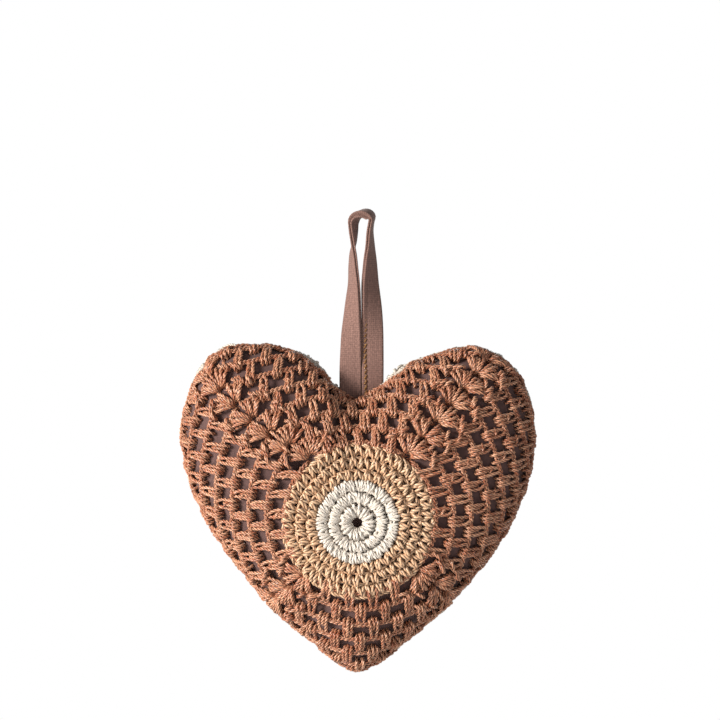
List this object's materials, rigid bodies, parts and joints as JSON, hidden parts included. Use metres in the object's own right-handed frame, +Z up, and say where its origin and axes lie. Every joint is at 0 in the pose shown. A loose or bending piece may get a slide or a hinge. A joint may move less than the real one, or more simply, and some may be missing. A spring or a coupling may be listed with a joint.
{
  "type": "hanging crochet heart",
  "caption": "Stuffed cloth heart in an openwork crochet cover with a round rosette, hung by a folded woven tape loop.",
  "frame": {"origin": "the inside of the loop's top, where it rests on its peg", "axes": "+Z up as it hangs, -Y out of the heart's face with the rosette, +X to the right of someone who faces it"},
  "size_m": [0.1606, 0.052, 0.209],
  "materials": {
    "cushion_cloth": "matt plain-woven cotton",
    "ecru_yarn": "plied mercerised cotton, soft sheen",
    "tan_yarn": "plied mercerised cotton, soft sheen",
    "brown_yarn": "plied mercerised cotton, soft sheen",
    "off_white_yarn": "plied cotton, matt",
    "tape_cloth": "matt plain-woven cotton, folded and topstitched"
  },
  "bodies": {
    "root": {"cushion": "cushion_cloth", "centre_rounds": "ecru_yarn", "ring_rounds": "tan_yarn", "front_mesh": "brown_yarn", "back_panel": "off_white_yarn", "hanging_loop": "tape_cloth"}
  },
  "joints": []
}
